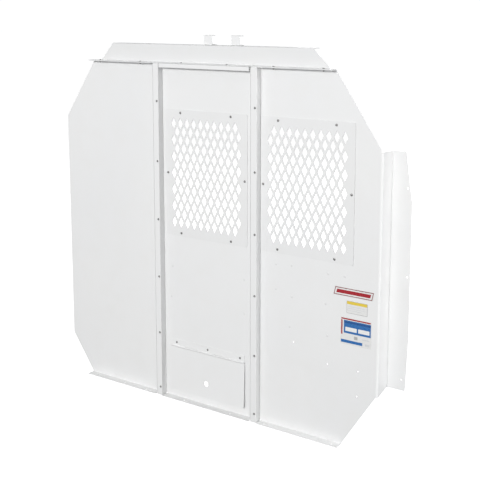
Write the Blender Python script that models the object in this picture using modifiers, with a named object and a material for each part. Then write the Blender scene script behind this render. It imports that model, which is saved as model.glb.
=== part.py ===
# Van bulkhead (cargo partition): three folded sheet-steel panels joined by two
# capped posts, a header, two expanded-diamond window screens and a top-hinged
# access flap for long loads.
#
# Frame: metres, +Z up. X runs left to right as seen from the load space, the
# front (load side) faces -Y. Z = 0 is the underside of the bottom flanges. The
# dimensions below put y = 0 on the front face of the panels; the last lines
# move everything so that the origin is mid-width and mid-depth.
import bpy
import bmesh
import math
from mathutils import Matrix, Vector

MM = 0.001

# ---------------------------------------------------------------- dimensions (mm)
T = 2.0            # sheet thickness
GAP = 0.3          # between touching pieces
R = 3.0            # inside bend radius
TOP = 1315.7       # upper face of the panels' top flanges
D_TOP = 28.0       # depth of the top flanges in front of the panel face
D_FOOT = 32.0      # depth of the bottom flanges
D_POST = 28.0      # front face of the posts in front of the panel face

X_LEFT = -763.5    # outer edge of the left panel
X_RIGHT = 760.3    # outer edge of the right wing
ORIGIN_SHIFT = (1.6, -15.0, 0.0)   # puts the origin mid-width and mid-depth

POST_W = 26.0
LP0, LP1 = -278.0, -252.0      # left post, outer faces
RP0, RP1 = 173.0, 199.0        # right post, outer faces
POST_SCREW_Z = (35.0, 260.0, 487.0, 715.0, 942.0, 1172.0)
SIDE_BOLT_Z = (373.0, 830.0)
SIDE_Y = -14.0                 # side rivets, through a post wall and a panel flange
BRACKET_Y = 32.0               # bolts of the roof brackets
POST_SCREW_IN = 7.0            # from the right-hand corner of each post

SCREEN_W, SCREEN_H = 380.0, 488.0
SCREEN_Z = 899.0               # centre height of both screens
CS_X = -49.0                   # centre screen
RS_X = 389.8                   # right screen
PITCH_X, PITCH_Z = 31.75, 63.5 # diamond pitch
DIA_A, DIA_B = 10.7, 21.4      # half width and half height of one diamond
WIN_W, WIN_H = 340.0, 444.0    # window cut-outs behind the screens

FLAP_X0, FLAP_X1 = -228.5, 131.5
FLAP_Z0, HINGE_Z = 35.0, 210.0
HINGE_Y = -3.3
KNUCKLE_R = 3.0
PIN_R = 1.5
FLAP_REST_DEG = 2.0            # the flap rests on its bumpers, slightly off the panel
FINGER_X, FINGER_Z, FINGER_R = -47.7, 88.6, 11.0
PASS_X0, PASS_X1, PASS_Z0, PASS_Z1 = -212.0, 115.0, 50.0, 195.0

COLL_NAME = "van_bulkhead"


# ---------------------------------------------------------------- scene and materials
def clear():
    for ob in list(bpy.data.objects):
        bpy.data.objects.remove(ob, do_unlink=True)
    for me in list(bpy.data.meshes):
        bpy.data.meshes.remove(me)


clear()
scene = bpy.context.scene
parts = bpy.data.collections.new(COLL_NAME)
cutters = bpy.data.collections.new("cutters")
scene.collection.children.link(parts)
scene.collection.children.link(cutters)


def material(name, colour, rough, metal):
    m = bpy.data.materials.new(name)
    m.use_nodes = True
    b = m.node_tree.nodes["Principled BSDF"]
    b.inputs["Base Color"].default_value = (*colour, 1.0)
    b.inputs["Roughness"].default_value = rough
    b.inputs["Metallic"].default_value = metal
    m.diffuse_color = (*colour, 1.0)
    return m


WHITE = ((0.80, 0.80, 0.79), 0.45, 0.0)
ZINC = ((0.55, 0.55, 0.56), 0.35, 1.0)
RUBBER = ((0.03, 0.03, 0.03), 0.8, 0.0)


def finish(ob, name, look, coll=None):
    ob.name = name
    ob.data.name = name
    ob.data.materials.clear()
    ob.data.materials.append(material(name + "_mat", *look))
    for c in list(ob.users_collection):
        c.objects.unlink(ob)
    (coll or parts).objects.link(ob)
    return ob


def new_object(name, me, coll=None):
    ob = bpy.data.objects.new(name, me)
    (coll or parts).objects.link(ob)
    return ob


def as_cutter(ob):
    for c in list(ob.users_collection):
        c.objects.unlink(ob)
    cutters.objects.link(ob)
    ob.hide_render = True
    ob.display_type = 'WIRE'
    return ob


def cut(ob, cutter, op='DIFFERENCE'):
    mod = ob.modifiers.new("bool", 'BOOLEAN')
    mod.operation = op
    mod.solver = 'EXACT'
    mod.object = cutter
    return mod


# ---------------------------------------------------------------- shape helpers
def box_bm(bm, lo, hi):
    """A box between two corners, in mm."""
    res = bmesh.ops.create_cube(bm, size=1.0)
    c = [(a + b) / 2 * MM for a, b in zip(lo, hi)]
    s = [(b - a) * MM for a, b in zip(lo, hi)]
    bmesh.ops.scale(bm, vec=s, verts=res["verts"])
    bmesh.ops.translate(bm, vec=c, verts=res["verts"])
    return res["verts"]


def cyl_bm(bm, centre, r, length, axis='Y', seg=12, turn=0.0, r2=None):
    """A closed cylinder or cone centred on a point, in mm, along an axis."""
    res = bmesh.ops.create_cone(bm, cap_ends=True, cap_tris=False, segments=seg,
                                radius1=r * MM, radius2=(r if r2 is None else r2) * MM,
                                depth=length * MM)
    rot = Matrix.Rotation(turn, 4, 'Z')
    if axis == 'Y':      # +Z of the cone goes to -Y, the load side
        rot = Matrix.Rotation(math.radians(90), 4, 'X') @ rot
    elif axis == 'X':
        rot = Matrix.Rotation(math.radians(90), 4, 'Y') @ rot
    bmesh.ops.transform(bm, matrix=Matrix.Translation([c * MM for c in centre]) @ rot,
                        verts=res["verts"])
    return res["verts"]


def mesh_object(name, bm, look=None, coll=None):
    me = bpy.data.meshes.new(name)
    bm.normal_update()
    bm.to_mesh(me)
    bm.free()
    ob = new_object(name, me, coll)
    if look:
        finish(ob, name, look, coll)
    return ob


def hole_cutter(name, holes):
    """Round through-cutters: (centre, radius, length, axis, sides)."""
    bm = bmesh.new()
    for centre, r, length, axis, seg in holes:
        cyl_bm(bm, centre, r, length, axis, seg, math.pi / seg)
    return as_cutter(mesh_object(name, bm))


def box_cutter(name, boxes):
    bm = bmesh.new()
    for lo, hi in boxes:
        box_bm(bm, lo, hi)
    return as_cutter(mesh_object(name, bm))


def arc(r, n=3):
    """Steps of a 90 degree bend: distance travelled outward and forward."""
    return [(r * math.sin(math.pi / 2 * i / n), r * (1 - math.cos(math.pi / 2 * i / n)))
            for i in range(1, n + 1)]


def fold_path(depth, back=0.0, r=R, n=3):
    """Points (outward, forward) of a flange that starts at its fold line. The
    tray-side face ends at outward = r, forward = depth. back > 0 adds a second
    fold that turns outward again by that much, measured from the flange face."""
    pts = arc(r, n)
    if back <= 0:
        pts.append((r, depth))
        return pts
    r2 = r + T
    pts.append((r, depth - r2))
    for i in range(1, n + 1):
        a = math.pi / 2 * i / n
        pts.append((r + r2 * (1 - math.cos(a)), depth - r2 + r2 * math.sin(a)))
    pts.append((r + back, depth))
    return pts


def folded_sheet(name, outline, flanges, look, holes=None, boxes=None):
    """A flat web in the plane y = 0 with folded flanges, then given its
    thickness behind the front face.

    outline : list of (x, z) in mm, counter-clockwise seen from the front
    flanges : list of (i, j, outward (x, z), path) on the outline edge i-j,
              path = [(outward, forward), ...] from the fold line
    """
    bm = bmesh.new()
    vs = [bm.verts.new((x * MM, 0.0, z * MM)) for x, z in outline]
    face = bm.faces.new(vs)
    face.normal_update()
    if face.normal.y > 0:
        face.normal_flip()
    for i, j, out, path in flanges:
        a, b = vs[i], vs[j]
        pa, pb = a.co.copy(), b.co.copy()
        row = (a, b)
        for o, f in path:
            d = Vector((out[0] * o, -f, out[1] * o)) * MM
            na, nb = bm.verts.new(pa + d), bm.verts.new(pb + d)
            bm.faces.new((row[0], row[1], nb, na))
            row = (na, nb)
    bmesh.ops.recalc_face_normals(bm, faces=bm.faces[:])
    face.normal_update()
    if face.normal.y > 0:
        bmesh.ops.reverse_faces(bm, faces=bm.faces[:])
    ob = mesh_object(name, bm, look)
    s = ob.modifiers.new("thickness", 'SOLIDIFY')
    s.thickness = T * MM
    s.offset = -1.0
    s.use_even_offset = True
    s.use_rim = True
    if boxes:
        cut(ob, box_cutter(name + "_cut", boxes))
    if holes:
        cut(ob, hole_cutter(name + "_holes", holes))
    return ob


def turned(name, profile, seg=12):
    """A solid of revolution about Z from (radius, z) pairs in mm that start
    and end on the axis, listed from the top of the outer side down."""
    me = bpy.data.meshes.new(name)
    bm = bmesh.new()
    vs = [bm.verts.new((r * MM, 0.0, z * MM)) for r, z in profile]
    for a, b in zip(vs, vs[1:]):
        bm.edges.new((a, b))
    bm.to_mesh(me)
    bm.free()
    ob = new_object(name, me)
    m = ob.modifiers.new("turn", 'SCREW')
    m.axis = 'Z'
    m.steps = seg
    m.render_steps = seg
    m.use_merge_vertices = True
    m.merge_threshold = 0.00005
    return ob


def fastener(name, profile, point, axis, look, seg=8):
    """One turned fastener: its +Z, the head side, points along axis and its
    seat under the head is at point."""
    ob = turned(name, profile, seg)
    finish(ob, name, look)
    ob.rotation_mode = 'QUATERNION'
    ob.rotation_quaternion = Vector((0, 0, 1)).rotation_difference(Vector(axis))
    ob.location = [c * MM for c in point]
    ob.data.shade_smooth()
    return ob


# fastener profiles: +Z is the head side, z = 0 is the seat under the head
def blind_rivet(head_r, head_h, shank_r, grip):
    """A domed head, a shank through the grip and the upset tail behind it."""
    return [(0.0, head_h), (head_r * 0.55, head_h * 0.9), (head_r * 0.9, head_h * 0.5),
            (head_r, 0.0), (shank_r, 0.0), (shank_r, -grip - GAP),
            (shank_r + 1.2, -grip - 2.0), (shank_r + 0.6, -grip - 4.5), (0.0, -grip - 5.0)]


def tapping_screw(head_r, head_h, shank_r, length):
    """A pan head on a shank that runs to a point."""
    return [(0.0, head_h), (head_r * 0.62, head_h * 0.88), (head_r, head_h * 0.3),
            (head_r, 0.0), (shank_r, 0.0), (shank_r, -length + 3.0), (0.0, -length)]


def machine_bolt(head_r, head_h, shank_r, length):
    return [(0.0, head_h), (head_r * 0.62, head_h * 0.88), (head_r, head_h * 0.3),
            (head_r, 0.0), (shank_r, 0.0), (shank_r, -length), (0.0, -length)]


FRONT = (0, -1, 0)
BACK = (0, 1, 0)

# ---------------------------------------------------------------- window screens
screen_hole_dx, screen_hole_mid = 117.0, 179.0
screen_hole_dz = 231.5


def screen_points(cx):
    return [(cx - screen_hole_dx, SCREEN_Z + screen_hole_dz),
            (cx + screen_hole_dx, SCREEN_Z + screen_hole_dz),
            (cx - screen_hole_mid, SCREEN_Z), (cx + screen_hole_mid, SCREEN_Z),
            (cx - screen_hole_dx, SCREEN_Z - screen_hole_dz),
            (cx + screen_hole_dx, SCREEN_Z - screen_hole_dz)]


def screen(name, cx, side):
    """A flat screen with staggered diamonds. side is +1 where the staggered
    rows are moved right by half a pitch, -1 where they are moved left."""
    cu = bpy.data.curves.new(name, 'CURVE')
    cu.dimensions = '2D'
    cu.fill_mode = 'BOTH'
    cu.extrude = T / 2 * MM

    def loop(pts):
        sp = cu.splines.new('POLY')
        sp.points.add(len(pts) - 1)
        for p, (x, y) in zip(sp.points, pts):
            p.co = (x * MM, y * MM, 0.0, 1.0)
        sp.use_cyclic_u = True

    w, h, c = SCREEN_W / 2, SCREEN_H / 2, 5.0
    loop([(-w + c, -h), (w - c, -h), (w, -h + c), (w, h - c),
          (w - c, h), (-w + c, h), (-w, h - c), (-w, -h + c)])
    x0 = -4.5 * PITCH_X - side * PITCH_X / 4
    for row in range(7):
        z = (3 - row) * PITCH_Z
        for col in range(10):
            x = x0 + col * PITCH_X
            loop([(x, z + DIA_B), (x + DIA_A, z), (x, z - DIA_B), (x - DIA_A, z)])
    for row in range(6):
        z = (2.5 - row) * PITCH_Z
        for col in range(10):
            x = x0 + col * PITCH_X + side * PITCH_X / 2
            loop([(x, z + DIA_B), (x + DIA_A, z), (x, z - DIA_B), (x - DIA_A, z)])
    for px, pz in screen_points(0.0):
        loop([(px + 2.6 * math.cos(math.pi / 4 * k + math.pi / 8),
               pz - SCREEN_Z + 2.6 * math.sin(math.pi / 4 * k + math.pi / 8)) for k in range(8)])
    tmp = bpy.data.objects.new(name + "_curve", cu)
    parts.objects.link(tmp)
    tmp.rotation_euler = (math.radians(90), 0, 0)
    tmp.location = (cx * MM, -(GAP + T / 2) * MM, SCREEN_Z * MM)
    bpy.context.view_layer.update()
    deps = bpy.context.evaluated_depsgraph_get()
    me = bpy.data.meshes.new_from_object(tmp.evaluated_get(deps))
    bm = bmesh.new()
    bm.from_mesh(me)
    bmesh.ops.remove_doubles(bm, verts=bm.verts[:], dist=0.00001)
    bmesh.ops.recalc_face_normals(bm, faces=bm.faces[:])
    bm.to_mesh(me)
    bm.free()
    ob = bpy.data.objects.new(name, me)
    parts.objects.link(ob)
    ob.matrix_world = tmp.matrix_world.copy()
    bpy.data.objects.remove(tmp, do_unlink=True)
    return finish(ob, name, WHITE)


screen("centre_screen", CS_X, +1)
screen("right_screen", RS_X, -1)

# ---------------------------------------------------------------- left panel
BOLT_R = 2.2
HOLE_R = 2.7


def y_holes(points, r=HOLE_R, seg=8, depth=20.0, y=0.0):
    return [((x, y, z), r, depth, 'Y', seg) for x, z in points]


foot_z = T + R           # fold line of a bottom flange
top_z = TOP - T - R      # fold line of a top flange
lp_edge = LP0 - GAP - T  # tray-side face of the left panel's post flange
HEADER_BOLTS = [-558.0, -350.0, -150.0, 60.0, 260.0, 461.0]
HEAD_BOLT_Y = -15.0
left_top_holes = [((x, HEAD_BOLT_Y, TOP), HOLE_R, 20.0, 'Z', 8) for x in HEADER_BOLTS[:2]]
left_side_holes = [((LP0 - 1.0, SIDE_Y, z), HOLE_R, 12.0, 'X', 8) for z in SIDE_BOLT_Z]
left_foot_holes = [((x, -17.0, 0.0), 4.5, 12.0, 'Z', 12) for x in (-604.0, -460.0, -345.0)]
folded_sheet(
    "left_panel",
    [(-656.0, foot_z), (lp_edge - R - 2.5, foot_z), (lp_edge - R, foot_z),
     (lp_edge - R, top_z), (lp_edge - R - 2.5, top_z),
     (-608.5, top_z), (-763.5, 1085.0), (-763.5, 154.0)],
    [(0, 1, (0, -1), fold_path(D_FOOT)),
     (2, 3, (1, 0), fold_path(D_POST)),
     (4, 5, (0, 1), fold_path(D_TOP))],
    WHITE, holes=left_top_holes + left_side_holes + left_foot_holes)

# ---------------------------------------------------------------- centre panel
cl_edge = LP1 - T - GAP          # tray-side face of the left flange, inside the left post
cr_edge = RP0 - GAP - T          # tray-side face of the right flange, beside the right post
RET = D_POST - T - GAP           # front face of the returns under the posts' front walls
RET_W = 14.0
centre_top_holes = [((x, HEAD_BOLT_Y, TOP), HOLE_R, 20.0, 'Z', 8) for x in HEADER_BOLTS[2:4]]
centre_side_holes = [((RP0 - 1.0, SIDE_Y, z), HOLE_R, 12.0, 'X', 8) for z in SIDE_BOLT_Z]
left_post_screws = [(LP1 - POST_SCREW_IN, z) for z in POST_SCREW_Z]
right_post_screws = [(RP1 - POST_SCREW_IN, z) for z in POST_SCREW_Z]
HINGE_SCREW_X = (FLAP_X0 + 33.0, (FLAP_X0 + FLAP_X1) / 2 + 5.0, FLAP_X1 - 23.0)
HINGE_SCREW_Z = 225.5
CENTRE_PLUGS = [(-213.5, 531.0), (-220.5, 408.0), (126.5, 532.0), (126.5, 402.0)]
TOP_RET = 14.0


def top_return_path(depth, drop, r=R, n=3):
    """A top flange whose front edge turns down again by drop."""
    pts = arc(r, n)
    rr = T + 0.5
    pts.append((r, depth - rr))
    for i in range(1, n + 1):
        a = math.pi / 2 * i / n
        pts.append((r - rr * (1 - math.cos(a)), depth - rr + rr * math.sin(a)))
    pts.append((r - drop, depth))
    return pts


folded_sheet(
    "centre_panel",
    [(cl_edge + R + 2.5, foot_z), (cr_edge - R - 2.5, foot_z), (cr_edge - R, foot_z),
     (cr_edge - R, top_z), (cr_edge - R - 2.5, top_z), (cl_edge + R + 2.5, top_z),
     (cl_edge + R, top_z), (cl_edge + R, foot_z)],
    [(0, 1, (0, -1), fold_path(D_FOOT)),
     (2, 3, (1, 0), fold_path(D_POST)),
     (4, 5, (0, 1), top_return_path(D_POST - T, TOP_RET)),
     (6, 7, (-1, 0), fold_path(RET, RET_W))],
    WHITE,
    boxes=[((CS_X - WIN_W / 2, -5, SCREEN_Z - WIN_H / 2), (CS_X + WIN_W / 2, 5, SCREEN_Z + WIN_H / 2)),
           ((PASS_X0, -5, PASS_Z0), (PASS_X1, 5, PASS_Z1))],
    holes=y_holes(screen_points(CS_X), depth=8) + centre_top_holes + centre_side_holes
    + y_holes(left_post_screws, r=2.2, depth=12.0, y=-RET + 1)
    + y_holes([(x, HINGE_SCREW_Z) for x in HINGE_SCREW_X], depth=8)
    + y_holes(CENTRE_PLUGS, r=3.4, depth=8)
    + [((x, -17.0, 0.0), 4.5, 12.0, 'Z', 12) for x in (-150.0, 72.0)])

# ---------------------------------------------------------------- right panel and wing
rl_edge = RP1 - T - GAP          # tray-side face of the left flange, inside the right post
WING_RUN, WING_BACK = 30.0, 60.0
WING_X = 674.0


def wing_path():
    """Outward and forward steps of the joggle: it turns back round a large
    bend, runs back, turns out again and ends in a flat flange."""
    pts = []
    rb = 8.0
    ang = math.radians(84)
    n = 6
    for i in range(1, n + 1):
        a = ang * i / n
        pts.append((rb * math.sin(a), -(rb * (1 - math.cos(a)))))
    o1, f1 = pts[-1]
    rc = 4.0
    f2 = WING_BACK - rc * (1 - math.cos(ang))
    o2 = o1 + (f2 + f1) / math.tan(ang)
    for i in range(0, n + 1):
        a = ang * (1 - i / n)
        pts.append((o2 + rc * (math.sin(ang) - math.sin(a)),
                    -(f2 + rc * ((1 - math.cos(ang)) - (1 - math.cos(a))))))
    pts.append((X_RIGHT - WING_X, -WING_BACK))
    return pts


RIGHT_PLUGS = [(265.0, 613.0), (331.0, 618.0), (481.0, 612.0), (547.0, 612.5), (265.0, 520.5),
               (334.0, 503.0), (473.0, 503.0), (326.0, 391.0), (342.5, 337.0), (481.0, 388.5),
               (483.0, 284.0), (604.5, 283.0), (602.0, 192.5)]
right_top_holes = [((x, HEAD_BOLT_Y, TOP), HOLE_R, 20.0, 'Z', 8) for x in HEADER_BOLTS[4:]]
WING_HOLES = [(744.0, 931.0), (750.0, 629.0), (739.5, 266.0)]
folded_sheet(
    "right_panel",
    [(rl_edge + R + 2.5, foot_z), (543.5, foot_z), (WING_X, 205.0),
     (WING_X, 1052.0), (WING_X, 1061.6), (502.5, top_z), (rl_edge + R + 2.5, top_z),
     (rl_edge + R, top_z), (rl_edge + R, foot_z)],
    [(0, 1, (0, -1), fold_path(D_FOOT)),
     (2, 3, (1, 0), wing_path()),
     (5, 6, (0, 1), fold_path(D_TOP)),
     (7, 8, (-1, 0), fold_path(RET, RET_W))],
    WHITE,
    boxes=[((RS_X - WIN_W / 2, -5, SCREEN_Z - WIN_H / 2), (RS_X + WIN_W / 2, 5, SCREEN_Z + WIN_H / 2))],
    holes=y_holes(screen_points(RS_X), depth=8) + right_top_holes
    + y_holes(right_post_screws, r=2.2, depth=12.0, y=-RET + 1)
    + y_holes(RIGHT_PLUGS, r=3.4, depth=8)
    + [((x, WING_BACK, z), 3.5, 12.0, 'Y', 12) for x, z in WING_HOLES]
    + [((x, -17.0, 0.0), 4.5, 12.0, 'Z', 12) for x in (228.0, 515.0)])

# the wing's outer flange tapers at its upper corner and a little at its foot
wing = bpy.data.objects["right_panel"]
bm = bmesh.new()
tri = [(700.0, 1075.0), (734.0, 1052.5), (760.6, 883.0), (790.0, 883.0), (790.0, 1075.0)]
low = [(752.7, 220.0), (760.6, 416.0), (790.0, 416.0), (790.0, 220.0)]
for poly in (tri, low):
    fr = [bm.verts.new((x * MM, 0.045, z * MM)) for x, z in poly]
    bk = [bm.verts.new((x * MM, 0.080, z * MM)) for x, z in poly]
    bm.faces.new(fr)
    bm.faces.new(bk[::-1])
    for i in range(len(poly)):
        j = (i + 1) % len(poly)
        bm.faces.new((fr[i], bk[i], bk[j], fr[j]))
bmesh.ops.recalc_face_normals(bm, faces=bm.faces[:])
cut(wing, as_cutter(mesh_object("wing_taper", bm)))
# the lower edge of the wing rises towards the back, up to the outer flange
bm = bmesh.new()
side = [(2.0, 205.0), (WING_BACK - 4.0, 228.0), (90.0, 228.0), (90.0, 190.0), (2.0, 190.0)]
lf = [bm.verts.new((WING_X * MM, y * MM, z * MM)) for y, z in side]
rt = [bm.verts.new((790.0 * MM, y * MM, z * MM)) for y, z in side]
bm.faces.new(lf)
bm.faces.new(rt[::-1])
for i in range(len(side)):
    j = (i + 1) % len(side)
    bm.faces.new((lf[i], rt[i], rt[j], lf[j]))
bmesh.ops.recalc_face_normals(bm, faces=bm.faces[:])
cut(wing, as_cutter(mesh_object("wing_rise", bm)))

# ---------------------------------------------------------------- posts: cap channels
def post(name, x0, x1, side_bolts, screws):
    """A channel, open at the back, that caps the flanges of two panels. Its
    section is drawn as an open path and given thickness inward."""
    bm = bmesh.new()
    r = 1.6
    zb, zt = GAP, TOP - GAP      # from the floor to the underside of the header's lip
    pts = [(x0, -2.6)]
    for i in range(0, 4):
        a = math.pi / 2 * i / 3
        pts.append((x0 + r * (1 - math.cos(a)), -D_POST + r * (1 - math.sin(a))))
    for i in range(0, 4):
        a = math.pi / 2 * (1 - i / 3)
        pts.append((x1 - r * (1 - math.cos(a)), -D_POST + r * (1 - math.sin(a))))
    pts.append((x1, -2.6))
    lo = [bm.verts.new((x * MM, y * MM, zb * MM)) for x, y in pts]
    hi = [bm.verts.new((x * MM, y * MM, zt * MM)) for x, y in pts]
    for i in range(len(pts) - 1):
        bm.faces.new((lo[i], lo[i + 1], hi[i + 1], hi[i]))
    bmesh.ops.recalc_face_normals(bm, faces=bm.faces[:])
    bm.faces.ensure_lookup_table()
    bm.normal_update()
    if bm.faces[4].normal.y > 0:
        bmesh.ops.reverse_faces(bm, faces=bm.faces[:])
    ob = mesh_object(name, bm, WHITE)
    s = ob.modifiers.new("thickness", 'SOLIDIFY')
    s.thickness = T * MM
    s.offset = -1.0
    s.use_even_offset = True
    holes = [((x, -D_POST, z), 2.2, 12.0, 'Y', 8) for x, z in screws]
    holes += [((x0, SIDE_Y, z), HOLE_R, 12.0, 'X', 8) for z in side_bolts]
    cut(ob, hole_cutter(name + "_holes", holes))
    return ob


post("left_post", LP0, LP1, SIDE_BOLT_Z, left_post_screws)
post("right_post", RP0, RP1, SIDE_BOLT_Z, right_post_screws)

# ---------------------------------------------------------------- header
HEAD_Z0 = TOP + GAP            # underside of the lip
HEAD_TOP = 1385.0
LIP_Z = HEAD_Z0 + T + R        # fold line above the lip
lip_d = D_POST + 2.0
hx0, hx1 = -608.5, 502.5       # lip ends
tab_x = (-45.5, 77.5)


def header():
    bm = bmesh.new()
    n = 3
    z1 = HEAD_TOP - T - R
    plate = [(-563.5, LIP_Z), (476.5, LIP_Z), (411.5 + 3, z1), (-505.5 - 3, z1)]
    vs = [bm.verts.new((x * MM, 0.0, z * MM)) for x, z in plate]
    bm.faces.new(vs)
    # lip: forward fold at the bottom edge; the lip widens to the panels' corners
    rows = [(vs[0], vs[1])]
    for o, f in arc(R, n):
        na = bm.verts.new((plate[0][0] * MM, -f * MM, (LIP_Z - o) * MM))
        nb = bm.verts.new((plate[1][0] * MM, -f * MM, (LIP_Z - o) * MM))
        bm.faces.new((rows[-1][0], rows[-1][1], nb, na))
        rows.append((na, nb))
    zl = (LIP_Z - R) * MM
    c = bm.verts.new((hx0 * MM, -R * MM, zl))
    d = bm.verts.new((hx1 * MM, -R * MM, zl))
    e = bm.verts.new((hx1 * MM, -lip_d * MM, zl))
    f_ = bm.verts.new((hx0 * MM, -lip_d * MM, zl))
    na, nb = rows[-1]
    bm.faces.new((c, na, nb, d, e, f_))
    # top flange: backward fold at the top edge
    rr = R + T
    row = (vs[3], vs[2])
    for i in range(1, n + 1):
        a = math.pi / 2 * i / n
        o, f = rr * math.sin(a), rr * (1 - math.cos(a))
        na = bm.verts.new((row[0].co.x, f * MM, (z1 + o) * MM))
        nb = bm.verts.new((row[1].co.x, f * MM, (z1 + o) * MM))
        bm.faces.new((row[0], row[1], nb, na))
        row = (na, nb)
    na = bm.verts.new(((-505.5 + 6) * MM, 46.0 * MM, (z1 + rr) * MM))
    nb = bm.verts.new(((411.5 - 2) * MM, 46.0 * MM, (z1 + rr) * MM))
    bm.faces.new((row[0], row[1], nb, na))
    bmesh.ops.recalc_face_normals(bm, faces=bm.faces[:])
    bm.faces.ensure_lookup_table()
    bm.normal_update()
    if bm.faces[0].normal.y > 0:
        bmesh.ops.reverse_faces(bm, faces=bm.faces[:])
    ob = mesh_object("header_panel", bm, WHITE)
    s = ob.modifiers.new("thickness", 'SOLIDIFY')
    s.thickness = T * MM
    s.offset = -1.0
    s.use_even_offset = True
    holes = [((x, HEAD_BOLT_Y, HEAD_Z0), HOLE_R, 20.0, 'Z', 8) for x in HEADER_BOLTS]
    holes += [((x, BRACKET_Y, HEAD_TOP), HOLE_R, 20.0, 'Z', 8) for x in tab_x]
    cut(ob, hole_cutter("header_holes", holes))
    return ob


header()

# roof brackets: an upright tab with a foot that is bolted to the header's top
# flange and a wider head
TAB_H = 36.0
TAB_Y = 12.0



def roof_bracket(name, cx):
    bm = bmesh.new()
    z0 = HEAD_TOP + GAP
    w = 18.0
    prof = [(44.0, z0), (TAB_Y + 3, z0), (TAB_Y + 1, z0 + 1.0), (TAB_Y, z0 + 3.0),
            (TAB_Y, z0 + TAB_H - 3.0), (TAB_Y + 1, z0 + TAB_H - 1.0), (TAB_Y + 3, z0 + TAB_H),
            (34.0, z0 + TAB_H)]
    wid = [w, w, w, w, w, w + 3.0, w + 3.0, w + 3.0]
    lo = [bm.verts.new(((cx - s) * MM, y * MM, z * MM)) for (y, z), s in zip(prof, wid)]
    hi = [bm.verts.new(((cx + s) * MM, y * MM, z * MM)) for (y, z), s in zip(prof, wid)]
    for i in range(len(prof) - 1):
        bm.faces.new((lo[i], lo[i + 1], hi[i + 1], hi[i]))
    bmesh.ops.recalc_face_normals(bm, faces=bm.faces[:])
    bm.faces.ensure_lookup_table()
    bm.normal_update()
    if bm.faces[3].normal.y > 0:
        bmesh.ops.reverse_faces(bm, faces=bm.faces[:])
    ob = mesh_object(name, bm, WHITE)
    s = ob.modifiers.new("thickness", 'SOLIDIFY')
    s.thickness = 2.5 * MM
    s.offset = -1.0
    s.use_even_offset = True
    cut(ob, hole_cutter(name + "_holes", [((cx, BRACKET_Y, z0), HOLE_R, 12.0, 'Z', 8),
                                          ((cx, 25.0, z0 + TAB_H), 4.0, 12.0, 'Z', 12)]))
    return ob


roof_bracket("roof_bracket_left", tab_x[0])
roof_bracket("roof_bracket_right", tab_x[1])

# ---------------------------------------------------------------- hinge and flap
pivot = (0.0, HINGE_Y, HINGE_Z)
swing = (Matrix.Translation([c * MM for c in pivot])
         @ Matrix.Rotation(-math.radians(FLAP_REST_DEG), 4, 'X')
         @ Matrix.Translation([-c * MM for c in pivot]))
LEAF_T = 1.5
N_KN = 5
kn_len = (FLAP_X1 - FLAP_X0 - 4.0) / N_KN
kn_x0 = FLAP_X0 + 2.0
leaf_y0, leaf_y1 = HINGE_Y + KNUCKLE_R - LEAF_T, HINGE_Y + KNUCKLE_R


def leaf(name, mine, zlo, zhi, edge_z, look, tilt=None):
    """A hinge leaf: a strip, tabs that reach the pin, and bored knuckles."""
    bm = bmesh.new()
    box_bm(bm, (kn_x0, leaf_y0, zlo), (kn_x0 + N_KN * kn_len, leaf_y1, zhi))
    base = mesh_object(name, bm, look)
    tb = bmesh.new()
    kb = bmesh.new()
    for k in range(N_KN):
        if k % 2 != mine:
            continue
        a = kn_x0 + k * kn_len + (0.25 if k else 0.0)
        b = kn_x0 + (k + 1) * kn_len - (0.25 if k < N_KN - 1 else 0.0)
        lo, hi = sorted((HINGE_Z, edge_z))
        box_bm(tb, (a, leaf_y0, lo - (0.6 if edge_z < HINGE_Z else 0.0)),
               (b, leaf_y1 - 0.0, hi + (0.6 if edge_z > HINGE_Z else 0.0)))
        cyl_bm(kb, ((a + b) / 2, HINGE_Y, HINGE_Z), KNUCKLE_R + 0.02, b - a, 'X', 16, math.pi / 16)
    tabs = as_cutter(mesh_object(name + "_tabs", tb))
    kn = as_cutter(mesh_object(name + "_knuckles", kb))
    cut(base, tabs, 'UNION')
    cut(base, kn, 'UNION')
    bb = bmesh.new()
    cyl_bm(bb, ((FLAP_X0 + FLAP_X1) / 2, HINGE_Y, HINGE_Z), PIN_R + 0.08, 420.0, 'X', 16, math.pi / 16)
    cut(base, as_cutter(mesh_object(name + "_bore", bb)))
    if tilt:
        for ob in (base, tabs, kn):
            ob.matrix_world = tilt @ ob.matrix_world
        bpy.data.objects[name + "_bore"].matrix_world = tilt @ bpy.data.objects[name + "_bore"].matrix_world
    return base


fixed = leaf("hinge_fixed_leaf", 0, HINGE_Z + KNUCKLE_R + 0.6, 237.0, HINGE_Z + KNUCKLE_R + 0.6, WHITE)
cut(fixed, hole_cutter("hinge_leaf_holes", y_holes([(x, HINGE_SCREW_Z) for x in HINGE_SCREW_X], depth=8)))
moving = leaf("hinge_moving_leaf", 1, 184.0, HINGE_Z - KNUCKLE_R - 0.6, HINGE_Z - KNUCKLE_R - 0.6, WHITE)
bm = bmesh.new()
cyl_bm(bm, ((FLAP_X0 + FLAP_X1) / 2, HINGE_Y, HINGE_Z), PIN_R, FLAP_X1 - FLAP_X0 - 2.0, 'X', 16, math.pi / 16)
mesh_object("hinge_pin", bm, ZINC)

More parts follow.
